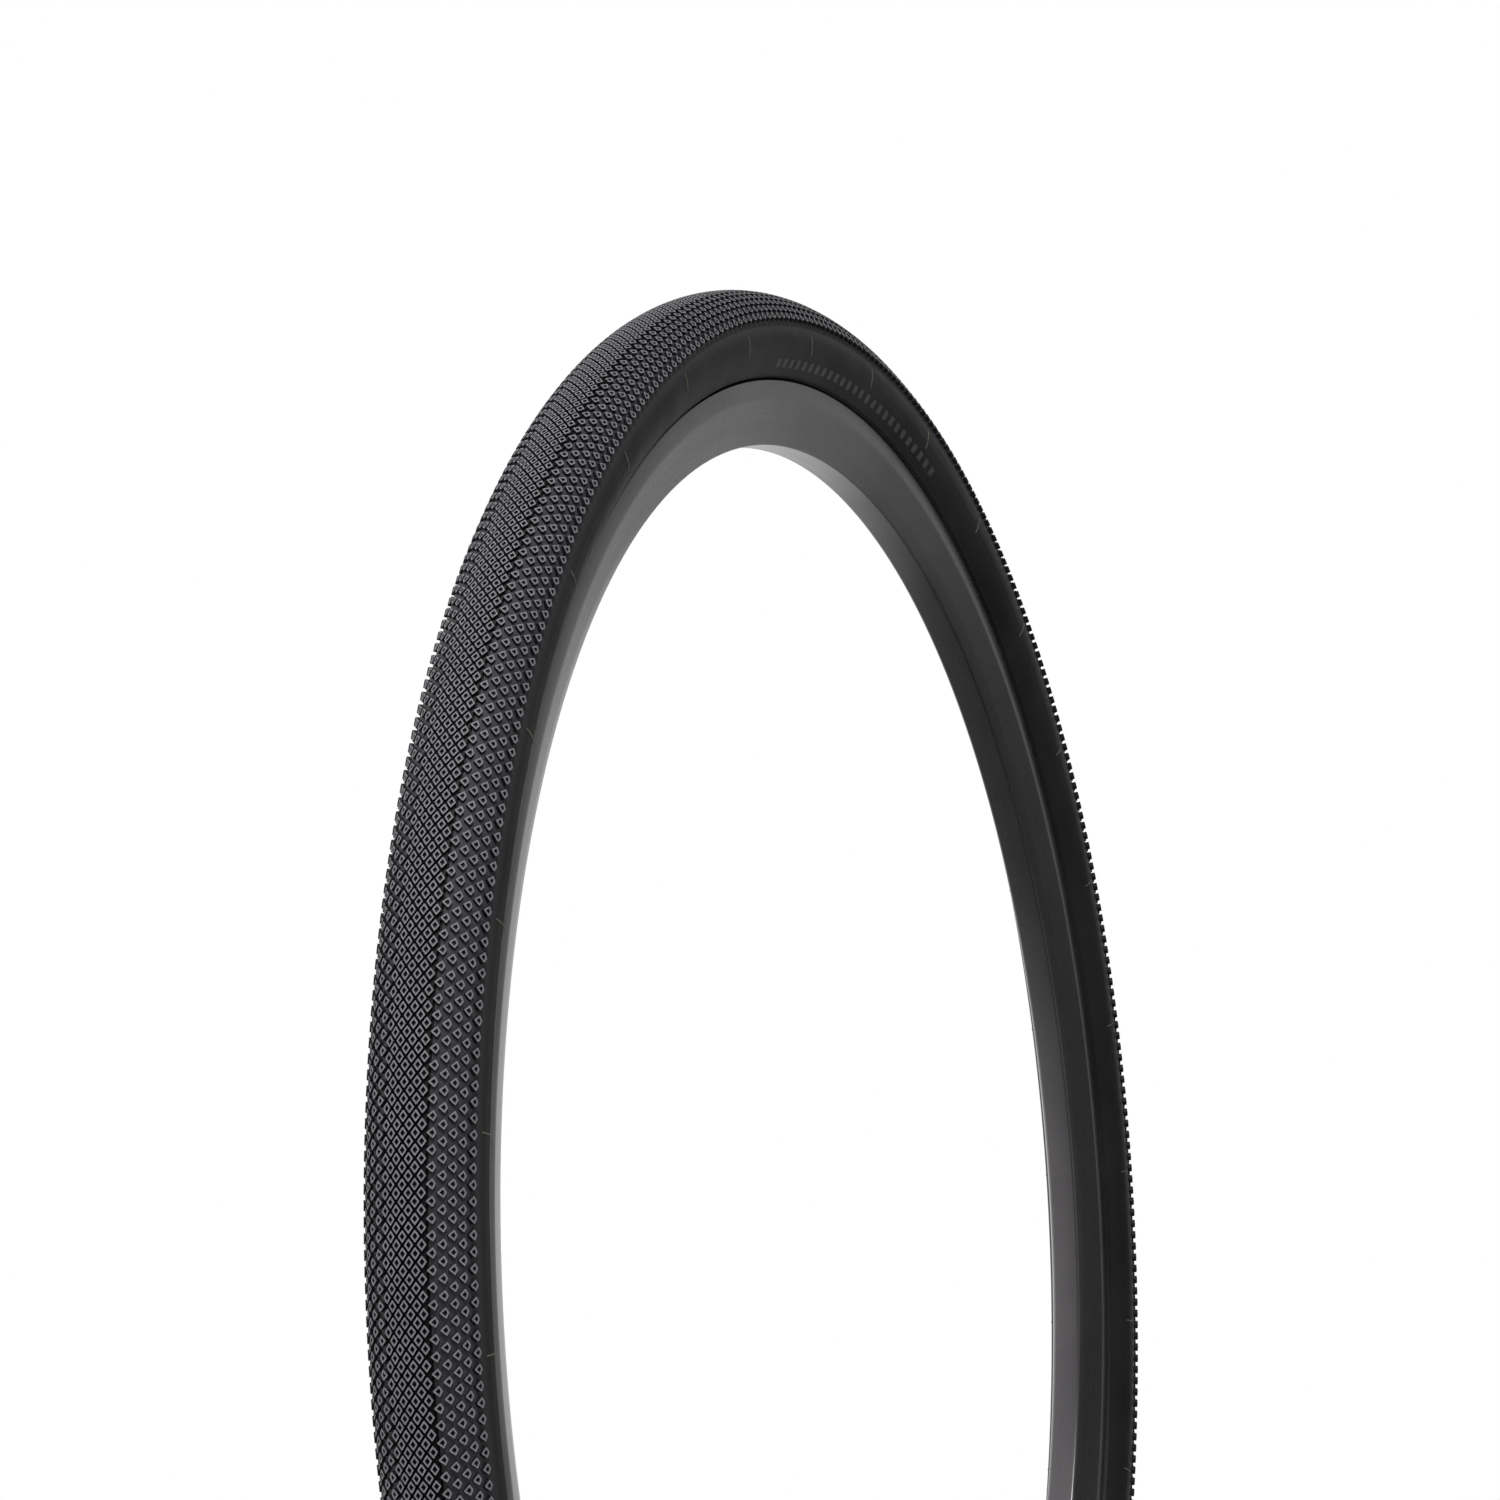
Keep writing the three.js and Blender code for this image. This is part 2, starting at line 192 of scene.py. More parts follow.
POCKET_BOTTOM = FOLD_BOTTOM + PLY_THICKNESS

# The stack in the well, from the rim to the tube.
TAPE_HALF_WIDTH = 3.9
TAPE_THICKNESS = 0.5
PATCH_THICKNESS = 1.0
TAPE = (WELL_RADIUS + GAP, WELL_RADIUS + GAP + TAPE_THICKNESS)
PATCH = (TAPE[1] + GAP, TAPE[1] + GAP + PATCH_THICKNESS)
TUBE_BOTTOM = PATCH[1] + GAP
TUBE_WALL = TUBE[1] - TUBE[0]

# Valve radii and thread pitches. Its heights come from the CAD nodes.
STEM_RADIUS = 2.9
STEM_NECK = 2.3
STEM_PITCH = 0.794
PLUNGER_RADIUS = 0.65
PLUNGER_PITCH = 0.8
POINTS_PER_TURN = 6

# How finely rings are divided, where they show and where they are hidden.
SMOOTH_SEGMENTS = 240
HIDDEN_SEGMENTS = 180

# ---- Mesh helpers ---------------------------------------------------------------------------------


def new_object(name, vertices, faces):
    """A mesh object from points in millimetres."""
    mesh = bpy.data.meshes.new(name)
    points = np.asarray(vertices, float) * MM
    mesh.from_pydata(points.tolist(), [], faces)
    mesh.update()
    obj = bpy.data.objects.new(name, mesh)
    bpy.context.scene.collection.objects.link(obj)
    return obj


def finish_piece(obj, material, crease=35, body="tire_and_rim"):
    """Gives a piece its material, its shading and the CAD body it rides on."""
    obj.data.materials.clear()
    obj.data.materials.append(material)
    obj.data.polygons.foreach_set("use_smooth", [True] * len(obj.data.polygons))
    obj.data.set_sharp_from_angle(angle=math.radians(crease))
    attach(obj, body)
    return obj


def weld(obj):
    """Joins points that coincide, such as those of a turned outline that meet on its axis."""
    work = bmesh.new()
    work.from_mesh(obj.data)
    bmesh.ops.remove_doubles(work, verts=work.verts, dist=WELD_DISTANCE)
    work.to_mesh(obj.data)
    work.free()


def carve(obj, tools):
    """Cuts the tool objects out of a piece and removes them."""
    for tool in tools:
        cutter = obj.modifiers.new(tool.name, "BOOLEAN")
        cutter.operation = "DIFFERENCE"
        cutter.solver = "MANIFOLD"
        cutter.object = tool
    graph = bpy.context.evaluated_depsgraph_get()
    carved = bpy.data.meshes.new_from_object(obj.evaluated_get(graph))
    obj.modifiers.clear()
    obj.data = carved
    for tool in tools:
        bpy.data.objects.remove(tool)


def set_tone(obj, values):
    """Sets each point's tone, which paints shade and wear on the rubber: 0 is painted shade in a groove, 1
    is a knob's worn edge with a painted highlight.
    """
    attribute = obj.data.attributes.new("tone", "FLOAT", "POINT")
    attribute.data.foreach_set("value", values)


def section(theta, depth):
    """(y, radius) of a point at an angle from the crown, a depth below the knob tops."""
    y = (HALF_WIDTH - depth) * np.sin(theta)
    radius = SECTION_RADIUS + (HALF_HEIGHT - depth) * np.cos(theta)
    return y, radius


def arc(depth, start, end, steps):
    """Section points at one depth, between two angles in degrees."""
    angles = np.radians(np.linspace(start, end, steps + 1))
    return [section(angle, depth) for angle in angles]


def mirrored(points):
    """The points on the wheel's other side, in the reverse order."""
    return [(-y, radius) for y, radius in reversed(points)]


def both_sides(half):
    """The corners of half an outline, followed by those of its other side."""
    return half + [(-y, radius, size) for y, radius, size in reversed(half)]


def fillet(corners, steps=4):
    """A closed outline from (y, radius, fillet radius) corners, each rounded by an arc."""
    outline = []
    count = len(corners)
    for i, (y, radius, size) in enumerate(corners):
        here = Vector((y, radius))
        before = (Vector(corners[i - 1][:2]) - here).normalized()
        after = (Vector(corners[(i + 1) % count][:2]) - here).normalized()
        half = before.angle(after) / 2
        if size <= 0 or half > math.radians(89):
            outline.append((y, radius))
            continue
        centre = here + (before + after).normalized() * size / math.sin(half)
        start = here + before * size / math.tan(half) - centre
        end = here + after * size / math.tan(half) - centre
        for step in range(steps + 1):
            outwards = start.slerp(end, step / steps).normalized()
            outline.append(tuple(centre + outwards * size))
    return outline


def wound(outline):
    """The outline turned the way round that makes a revolved surface face outwards."""
    points = np.array(outline, float)
    after = np.roll(points, -1, axis=0)
    area = np.sum(points[:, 1] * after[:, 0] - after[:, 1] * points[:, 0])
    return points[::-1] if area < 0 else points


def revolve(profile, segments, start=0.0, sweep=360.0):
    """Vertices and faces of a closed (y, radius) outline turned around the axle.

    Angles are in degrees from the top of the wheel, and a part turn gets flat ends.
    """
    outline = wound(profile)
    count = len(outline)
    whole = sweep >= 360.0
    turns = segments if whole else segments + 1
    angles = math.radians(start) + np.arange(turns) * math.radians(sweep) / segments
    y = np.tile(outline[:, 0], turns)
    radius = np.tile(outline[:, 1], turns)
    angle = np.repeat(angles, count)
    vertices = np.column_stack((radius * np.sin(angle), y, radius * np.cos(angle)))
    faces = []
    for i in range(segments):
        low = i * count
        high = ((i + 1) % turns) * count
        for j in range(count):
            k = (j + 1) % count
            faces.append((low + j, high + j, high + k, low + k))
    if not whole:
        faces.append(tuple(range(count)))
        faces.append(tuple(segments * count + j for j in reversed(range(count))))
    return vertices, faces


def ring(name, profile, material, segments=HIDDEN_SEGMENTS, crease=35):
    """A finished piece that runs all the way round the wheel."""
    return finish_piece(new_object(name, *revolve(profile, segments)), material, crease)


def lathe(profile, segments):
    """Vertices and faces of a closed (radius, z) outline turned around the valve's axis."""
    outline = wound(profile)
    count = len(outline)
    angle = np.repeat(np.arange(segments) * 2 * math.pi / segments, count)
    radius = np.tile(outline[:, 0], segments)
    z = np.tile(outline[:, 1], segments)
    vertices = np.column_stack((radius * np.cos(angle), radius * np.sin(angle), z))
    faces = []
    for i in range(segments):
        low = i * count
        high = ((i + 1) % segments) * count
        for j in range(count):
            k = (j + 1) % count
            on_axis = outline[j, 0] == 0 and outline[k, 0] == 0
            if not on_axis:
                faces.append((low + j, low + k, high + k, high + j))
    return vertices, faces


# ---- Node helpers ---------------------------------------------------------------------------------


class Nodes:
    """Short calls that add nodes to a node tree and join them up."""

    def __init__(self, tree):
        self.nodes = tree.nodes
        self.links = tree.links

    def link(self, source, target):
        self.links.new(source, target)

    def fill(self, socket, value):
        """Sets an input to a number or a colour, or joins another node's output to it."""
        if isinstance(value, bpy.types.NodeSocket):
            self.link(value, socket)
        elif isinstance(value, tuple):
            socket.default_value = (*value, 1.0)
        else:
            socket.default_value = value

    def math(self, operation, first, second=None):
        node = self.nodes.new("ShaderNodeMath")
        node.operation = operation
        self.fill(node.inputs[0], first)
        if second is not None:
            self.fill(node.inputs[1], second)
        return node.outputs[0]

    def length(self, vector):
        """The length of a vector."""
        node = self.nodes.new("ShaderNodeVectorMath")
        node.operation = "LENGTH"
        self.link(vector, node.inputs[0])
        return node.outputs["Value"]

    def along(self, vector, direction):
        """The dot product of a vector and a fixed direction."""
        node = self.nodes.new("ShaderNodeVectorMath")
        node.operation = "DOT_PRODUCT"
        self.link(vector, node.inputs[0])
        node.inputs[1].default_value = direction
        return node.outputs["Value"]

    def split(self, vector):
        """The x, y and z of a vector."""
        node = self.nodes.new("ShaderNodeSeparateXYZ")
        self.link(vector, node.inputs[0])
        return node.outputs

    def combine(self, x, y, z):
        node = self.nodes.new("ShaderNodeCombineXYZ")
        for socket, value in zip(node.inputs, (x, y, z)):
            self.fill(socket, value)
        return node.outputs[0]

    def ramp(self, factor, stops):
        """A colour ramp from (position, linear colour) stops."""
        node = self.nodes.new("ShaderNodeValToRGB")
        elements = node.color_ramp.elements
        while len(elements) < len(stops):
            elements.new(0.5)
        for element, (position, colour) in zip(elements, stops):
            element.position = position
            element.color = (*colour, 1.0)
        self.link(factor, node.inputs["Fac"])
        return node.outputs["Color"]

    def mix(self, factor, first, second):
        """A blend of two colours."""
        node = self.nodes.new("ShaderNodeMix")
        node.data_type = "RGBA"
        # The node has inputs for every type of data, and its two colours are the seventh and eighth.
        self.fill(node.inputs[0], factor)
        self.fill(node.inputs[6], first)
        self.fill(node.inputs[7], second)
        return node.outputs[2]

    def scaled(self, value, low, high, start=0.0, end=1.0):
        """A value between start and end, spread between two limits."""
        node = self.nodes.new("ShaderNodeMapRange")
        node.inputs["From Min"].default_value = start
        node.inputs["From Max"].default_value = end
        node.inputs["To Min"].default_value = low
        node.inputs["To Max"].default_value = high
        self.link(value, node.inputs["Value"])
        return node.outputs["Result"]

    def camera_ray(self):
        """1 for what the camera sees directly, and 0 for light and reflections."""
        return self.nodes.new("ShaderNodeLightPath").outputs["Is Camera Ray"]


class Shader(Nodes):
    """A node material with what the materials here have in common."""

    def __init__(self, name, roughness=0.5, metallic=0.0, specular=0.5):
        self.material = bpy.data.materials.new(name)
        self.material.use_nodes = True
        super().__init__(self.material.node_tree)
        self.bsdf = self.nodes["Principled BSDF"]
        self.bsdf.inputs["Roughness"].default_value = roughness
        self.bsdf.inputs["Metallic"].default_value = metallic
        self.bsdf.inputs["Specular IOR Level"].default_value = specular
        self.place = self.nodes.new("ShaderNodeTexCoord").outputs["Object"]

    def noise(self, scale, detail=4.0, roughness=0.55, vector=None):
        node = self.nodes.new("ShaderNodeTexNoise")
        node.inputs["Scale"].default_value = scale
        node.inputs["Detail"].default_value = detail
        node.inputs["Roughness"].default_value = roughness
        self.link(vector or self.place, node.inputs["Vector"])
        return node.outputs["Fac"]

    def colour(self, socket):
        self.link(socket, self.bsdf.inputs["Base Color"])

    def roughness(self, socket):
        self.link(socket, self.bsdf.inputs["Roughness"])

    def bump(self, height, strength, distance):
        node = self.nodes.new("ShaderNodeBump")
        node.inputs["Strength"].default_value = strength
        node.inputs["Distance"].default_value = distance
        self.link(height, node.inputs["Height"])
        self.link(node.outputs["Normal"], self.bsdf.inputs["Normal"])

    def around(self):
        """(distance around the wheel, distance from the axle, distance across), in metres."""
        x, y, z = self.split(self.place)
        squares = self.math("ADD", self.math("MULTIPLY", x, x), self.math("MULTIPLY", z, z))
        turn = self.math("ARCTAN2", x, z)
        return self.math("MULTIPLY", turn, SECTION_RADIUS * MM), self.math("SQRT", squares), y


# ---- Materials ------------------------------------------------------------------------------------


def tread_rubber():
    """Matt rubber coloured by its tone: painted shade down in the grooves, and pale knob edges that are
    partly wear and partly painted highlight.
    """
    s = Shader("tread_rubber", roughness=0.6, specular=0.3)
    attribute = s.nodes.new("ShaderNodeAttribute")
    attribute.attribute_name = "tone"
    blotches = s.noise(60.0, detail=6.0)
    grain = s.noise(2400.0, detail=2.0)
    wear_and_shade = s.math("ADD", attribute.outputs["Fac"], s.scaled(s.noise(900.0), -0.16, 0.16))
    # The ramp paints shade: near black where the tone is 0 in grooves and holes, pale where it is 1 on knob
    # edges, partly wear and partly painted highlight.
    tone = s.ramp(wear_and_shade, [
        (0.0, (0.003, 0.003, 0.004)),
        (0.35, (0.011, 0.011, 0.013)),
        (0.7, (0.056, 0.055, 0.061)),
        (1.0, (0.275, 0.271, 0.296)),
    ])
    s.colour(s.mix(s.scaled(blotches, 0.0, 0.3), tone, (0.026, 0.026, 0.030)))
    s.roughness(s.scaled(grain, 0.5, 0.75))
    s.bump(grain, 0.35, 0.08 * MM)
    return s.material


def sidewall_rubber():
    """Satin rubber with fine rings from the mould and the casing's cords just showing through."""
    s = Shader("sidewall_rubber", roughness=0.5, specular=0.22)
    around, radius, across = s.around()
    height_above = s.math("SUBTRACT", radius, SECTION_RADIUS * MM)
    angle = s.math("ARCTAN2", s.math("ABSOLUTE", across), height_above)
    blotches = s.noise(22.0, detail=6.0)
    tone = s.ramp(blotches, [(0.3, (0.011, 0.011, 0.012)), (0.7, (0.021, 0.021, 0.021))])
    fade_start = math.radians(TREAD_EDGE)
    fade_end = math.radians(TREAD_EDGE + 13)
    s.colour(s.mix(s.scaled(angle, 0.0, 1.0, fade_start, fade_end), (0.045, 0.045, 0.049), tone))
    stretched = s.combine(s.math("MULTIPLY", around, 3.0), s.math("MULTIPLY", radius, 900.0), 0.0)
    rings = s.noise(1.0, detail=2.0, vector=stretched)
    cord_pitch = 0.9 * MM
    cords = s.math("SINE", s.math("MULTIPLY", s.math("ADD", around, radius), 2 * math.pi / cord_pitch))
    grain = s.noise(1800.0, detail=2.0)
    height = s.math("ADD", s.math("MULTIPLY", rings, 0.6), s.math("MULTIPLY", cords, 0.05))
    height = s.math("ADD", height, s.math("MULTIPLY", grain, 0.25))
    s.roughness(s.scaled(s.noise(60.0), 0.42, 0.62))
    s.bump(height, 0.4, 0.12 * MM)
    return s.material


def rim_alloy():
    """Dark anodised aluminium, drawn along its length, with fine scuffs."""
    s = Shader("rim_anodised", roughness=0.34, metallic=0.9)
    around, radius, across = s.around()
    stretched = s.combine(s.math("MULTIPLY", around, 12.0), s.math("MULTIPLY", radius, 2600.0),
                          s.math("MULTIPLY", across, 2600.0))
    drawn = s.noise(1.0, detail=3.0, vector=stretched)
    blotches = s.noise(14.0, detail=5.0)
    tint = s.ramp(blotches, [(0.3, (0.172, 0.164, 0.173)), (0.7, (0.228, 0.218, 0.226))])
    scuffs = s.noise(420.0, detail=6.0, roughness=0.7)
    marks = s.ramp(scuffs, [(0.64, (0.0, 0.0, 0.0)), (0.72, (1.0, 1.0, 1.0))])
    s.colour(s.mix(s.scaled(marks, 0.0, 0.35), tint, (0.10, 0.095, 0.10)))
    s.roughness(s.scaled(drawn, 0.22, 0.35))
    s.bump(drawn, 0.12, 0.04 * MM)
    return s.material


def plain(name, colour, roughness, metallic=0.0, scale=300.0, spread=0.2):
    """A finish with a little uneven tone and grain."""
    s = Shader(name, roughness=roughness, metallic=metallic)
    dark = tuple(c * (1 - spread) for c in colour)
    light = tuple(min(1.0, c * (1 + spread)) for c in colour)
    grain = s.noise(scale)
    s.colour(s.ramp(grain, [(0.3, dark), (0.7, light)]))
    s.roughness(s.scaled(grain, roughness * 0.85, min(1.0, roughness * 1.15)))
    s.bump(s.noise(scale * 6, detail=2.0), 0.2, 0.05 * MM)
    return s.material


def woven(name, dark, light, pitch, slant):
    """Cords or cloth: two families of threads, a pitch apart, that cross at a slant to the way it rolls."""
    s = Shader(name, roughness=0.75)
    around, radius, across = s.around()
    wave = 2 * math.pi / (pitch * MM)
    lean = s.math("MULTIPLY", across, slant)
    warp = s.math("SINE", s.math("MULTIPLY", s.math("ADD", around, lean), wave))
    weft = s.math("SINE", s.math("MULTIPLY", s.math("SUBTRACT", around, lean), wave))
    threads = s.math("MAXIMUM", warp, weft)
    level = s.math("ADD", s.math("MULTIPLY", threads, 0.5), 0.5)
    s.colour(s.ramp(level, [(0.2, dark), (0.8, light)]))
    s.bump(level, 0.5, 0.1 * MM)
    return s.material


TREAD = tread_rubber()
SIDEWALL = sidewall_rubber()
RIM = rim_alloy()
NYLON = woven("casing_nylon", (0.10, 0.08, 0.045), (0.30, 0.24, 0.14), 0.8, 1.0)
ARAMID = woven("aramid_cord", (0.22, 0.15, 0.04), (0.62, 0.45, 0.14), 0.9, 0.7)
CHAFER = woven("chafer_fabric", (0.006, 0.006, 0.006), (0.03, 0.03, 0.03), 0.7, 1.0)
TAPE_CLOTH = woven("rim_tape_cloth", (0.015, 0.06, 0.16), (0.05, 0.17, 0.38), 0.8, 1.0)
BUTYL = plain("tube_rubber", (0.016, 0.016, 0.017), 0.5)
RAW_ALUMINIUM = plain("raw_aluminium", (0.55, 0.55, 0.56), 0.35, metallic=1.0)
NICKEL = plain("nickelled_brass", (0.60, 0.58, 0.53), 0.26, metallic=1.0, scale=900.0, spread=0.08)
BRASS = plain("valve_brass", (0.60, 0.43, 0.18), 0.30, metallic=1.0, scale=900.0, spread=0.1)
SEAL = plain("seal_rubber", (0.012, 0.012, 0.012), 0.55, scale=900.0)
CAP = plain("cap_plastic", (0.014, 0.014, 0.015), 0.42, scale=1200.0)
PRINT = plain("sidewall_print", (0.062, 0.062, 0.058), 0.55, scale=500.0, spread=0.3)
FLASH = plain("mould_flash", (0.120, 0.122, 0.088), 0.6, scale=700.0, spread=0.3)


# ---- Tread ----------------------------------------------------------------------------------------


def diamond(half_across, half_along, cut):
    """Eight points of a diamond with its corners cut off, as (across, along)."""
    return np.array([
        (half_across, -cut), (half_across, cut),
        (cut, half_along), (-cut, half_along),
        (-half_across, cut), (-half_across, -cut),
        (-cut, -half_along), (cut, -half_along),
    ])


def crown_knob():
    """A ring-shaped diamond, as (points, height, tone) loops from its foot over its top into its hole."""
    outline = diamond(half_across=1.37, half_along=1.85, cut=0.10)
    hole = diamond(half_across=0.74, half_along=0.99, cut=0.06)
    # Tone 0 at the foot and deep in the hole is painted shade; 1 on the top edge is wear with a painted
    # highlight.
    return [
        (outline * 1.06, 0.35, 0.0),
        (outline, BASE_DEPTH - 0.14, 0.35),
        (outline * 0.95, BASE_DEPTH, 1.0),
        (hole, BASE_DEPTH, 0.92),
        (hole * 0.93, BASE_DEPTH - 0.15, 0.15),
        (hole * 0.75, BASE_DEPTH - 0.8, 0.0),
    ]


def shoulder_knob(side, rise):
    """A sparser knob, pointed towards the crown and blunt outwards, with a dimple of its own shape."""
    outline = diamond(half_across=1.46, half_along=1.64, cut=0.16)
    sweep_back = 0.30
    outline[:, 0] += side * sweep_back * np.abs(outline[:, 1])
    hole = outline * 0.50
    hole[:, 0] += side * 0.10
    top = BASE_DEPTH + rise
    # Tone 0 at the foot and in the dimple is painted shade; 1 on the top edge is wear with a painted
    # highlight.
    return [
        (outline * 1.08, 0.1, 0.0),
        (outline, top - 0.16, 0.40),
        (outline * 0.93, top, 1.0),
        (hole, top - 0.03, 0.90),
        (hole * 0.85, top - 0.7, 0.0),
    ]


def knobs(name, columns):
    """One mesh of every knob in some columns. A column is (angle, offset in rows, loops)."""
    vertices, faces, tones = [], [], []
    row_angle = 2 * math.pi / ROWS
    for theta, offset, loops in columns:
        outlines, heights, shades = zip(*loops)
        size = len(outlines[0])
        across, along = np.concatenate(outlines).T
        y, radius = section(theta + across / MEAN_HALF, BASE_DEPTH - np.repeat(heights, size))
        tone = np.repeat(shades, size)
        row_radius = section(theta, 0)[1]
        last = (len(loops) - 1) * size
        for row in range(ROWS):
            turn = (row + offset) * row_angle + along / row_radius
            first = len(tones)
            vertices.append(np.column_stack((radius * np.sin(turn), y, radius * np.cos(turn))))
            tones.extend(tone)
            for low in range(first, first + last, size):
                for i in range(size):
                    j = (i + 1) % size
                    faces.append((low + i, low + size + i, low + size + j, low + j))
            faces.append(tuple(range(first, first + size)))
            faces.append(tuple(reversed(range(first + last, first + last + size))))
    obj = new_object(name, np.concatenate(vertices), faces)
    set_tone(obj, tones)
    finish_piece(obj, TREAD, crease=20)


def tread():
    """Two halves of the tight crown band, and the sparser knobs of each shoulder."""
    crown = crown_knob()
    for hand, indices in (("left", range(1, CROWN_COLUMNS + 1)), ("right", range(-CROWN_COLUMNS, 1))):
        columns = [(i * CROWN_SPACING / MEAN_HALF, 0.5 * (i % 2), crown) for i in indices]
        knobs(f"tread_crown_knobs_{hand}", columns)
    for hand, side in (("left", 1), ("right", -1)):
        columns = []
        for i, (degrees, rise) in enumerate(zip(SHOULDER_ANGLES, SHOULDER_RISES)):
            offset = 0.5 * ((i + CROWN_COLUMNS + 1) % 2)
            columns.append((side * math.radians(degrees), offset, shoulder_knob(side, rise)))
        knobs(f"tread_shoulder_knobs_{hand}", columns)


def tread_base():
    """The skin that the knobs stand on, with a groove along each edge of the crown band."""
    groove = (CROWN_EDGE + 0.6, CROWN_EDGE + 1.4)
    half = arc(CROWN_DEPTH, 0, CROWN_EDGE, 10) + arc(BASE_DEPTH, *groove, 1)
    for degrees in np.linspace(SHOULDER_START, TREAD_EDGE, 27):
        depth = np.interp(degrees, [SHOULDER_END, TREAD_EDGE], [SHOULDER_DEPTH, BASE_DEPTH])
        half.append(section(math.radians(degrees), depth))
    inner = arc(TREAD_INNER, -TREAD_EDGE, TREAD_EDGE, 24)
    profile = mirrored(half)[:-1] + half + inner[::-1]
    vertices, faces = revolve(profile, SMOOTH_SEGMENTS)
    obj = new_object("tread_base", vertices, faces)
    lift = np.hypot(vertices[:, 0], vertices[:, 2]) - SECTION_RADIUS
    angle = np.degrees(np.arctan2(np.abs(vertices[:, 1]), lift))
    # Tone 0 along the groove at the crown band's edge is painted shade.
    tone_angles = [CROWN_EDGE + 1.5, SHOULDER_START, SHOULDER_END + 2, TREAD_EDGE]
    set_tone(obj, np.interp(angle, tone_angles, [0.0, 0.62, 0.66, 0.52]))
    finish_piece(obj, TREAD)
    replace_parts(obj, "tread_cap")


def vent_hairs():
    """Thin rubber hairs that the mould's vents leave on the shoulders of the tread."""
    draw = random.Random(5)
    vertices, faces = [], []
    sides = 5
    for i in range(VENT_HAIRS):
        turn = 2 * math.pi * (i + draw.uniform(-0.4, 0.4)) / VENT_HAIRS
        theta = draw.choice((-1, 1)) * math.radians(draw.choice(HAIR_ANGLES))
        length = draw.uniform(1.0, 1.8)
        lean = draw.uniform(-0.35, 0.35)
        first = len(vertices)
        for step, hair in enumerate(HAIR_RADII):
            height = length * step / 2
            depth = BASE_DEPTH + HAIR_ROOT - height
            for k in range(sides):
                angle = 2 * math.pi * k / sides
                y, radius = section(theta + hair * math.cos(angle) / MEAN_HALF, depth)
                along = turn + (hair * math.sin(angle) + lean * height * step / 2) / radius
                vertices.append((radius * math.sin(along), y, radius * math.cos(along)))
        for low in (first, first + sides):
            for k in range(sides):
                j = (k + 1) % sides
                faces.append((low + k, low + sides + k, low + sides + j, low + j))
        faces.append(tuple(first + k for k in range(sides)))
        faces.append(tuple(first + 2 * sides + k for k in reversed(range(sides))))
    obj = new_object("tread_vent_hairs", vertices, faces)
    set_tone(obj, [0.7] * len(vertices))
    finish_piece(obj, TREAD, crease=60)


# ---- Sidewalls ------------------------------------------------------------------------------------


def sidewall(hand, side):
    """Smooth side rubber with fine moulded ribs, down to its lip on the flange."""
    outer = []
    for degrees in np.linspace(TREAD_EDGE, LIP_ANGLE, 80):
        rib = sum(height * math.exp(-((degrees - place) / width) ** 2) for place, height, width in SIDE_RIBS)
        outer.append(section(math.radians(degrees), BASE_DEPTH - rib))
    lip = [
        (CHAFER_OUTER + 0.9, FLANGE_TOP + 0.55),
        (CHAFER_OUTER, FLANGE_TOP + GAP),
        (CHAFER_INNER, FLANGE_TOP + GAP),
    ]
    inner = arc(BREAKER[1], TREAD_EDGE, SIDE_INNER_EDGE, 16)
    profile = [(side * y, radius) for y, radius in outer + lip + inner[::-1]]
    obj = ring(f"side_rubber_{hand}", profile, SIDEWALL, SMOOTH_SEGMENTS)
    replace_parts(obj, f"sidewall_{hand}")


def pad(side, low, high, start, end, rise=0.09, steps=(4, 2)):
    """A thin raised bar on a sidewall, between two section angles and two wheel angles, in degrees."""
    across, along = steps
    vertices, faces = [], []
    for depth in (BASE_DEPTH - rise, BASE_DEPTH + 0.1):
        for i in range(across + 1):
            theta = math.radians(low + (high - low) * i / across)
            y, radius = section(theta, depth)
            for j in range(along + 1):
                turn = math.radians(start + (end - start) * j / along)
                vertices.append((radius * math.sin(turn), side * y, radius * math.cos(turn)))
    layer = (across + 1) * (along + 1)
    row = along + 1
    for i in range(across):
        for j in range(along):
            a = i * row + j
            faces.append((a, a + 1, a + row + 1, a + row))
            faces.append((layer + a, layer + a + row, layer + a + row + 1, layer + a + 1))
    edge = (list(range(along)) + [i * row + along for i in range(across)]
            + [across * row + j for j in range(along, 0, -1)] + [i * row for i in range(across, 0, -1)])
    for a, b in zip(edge, edge[1:] + edge[:1]):
        faces.append((a, layer + a, layer + b, b))
    if side < 0:
        faces = [face[::-1] for face in faces]
    return vertices, faces


def raised_bars(name, bars, material):
    """One piece made of several pads."""
    vertices, faces = [], []
    for bar_vertices, bar_faces in bars:
        first = len(vertices)
        vertices.extend(bar_vertices)
        faces.extend(tuple(first + i for i in face) for face in bar_faces)
    finish_piece(new_object(name, vertices, faces), material)


def side_print(hand, side):
    """A row of equal upright dashes, twice around each side."""
    bars = []
    for centre in PRINT_CENTRES:
        for i in range(PRINT_DASHES):
            start = centre + (i - PRINT_DASHES / 2) * PRINT_PITCH
            bars.append(pad(side, *PRINT_BAND, start, start + PRINT_PITCH / 2))
    raised_bars(f"side_dashes_{hand}", bars, PRINT)


def mould_ticks(hand, side):
    """Short radial lines of flash where the mould's side vents were."""
    bars = []
    for i in range(MOULD_TICKS):
        start = (i + TICK_OFFSET) * TICK_SPACING
        bars.append(pad(side, *TICK_BAND, start, start + TICK_WIDTH, rise=0.18, steps=(6, 1)))
    raised_bars(f"side_vent_marks_{hand}", bars, FLASH)


# ---- Layers inside the tire ------------------------------------------------------------------------


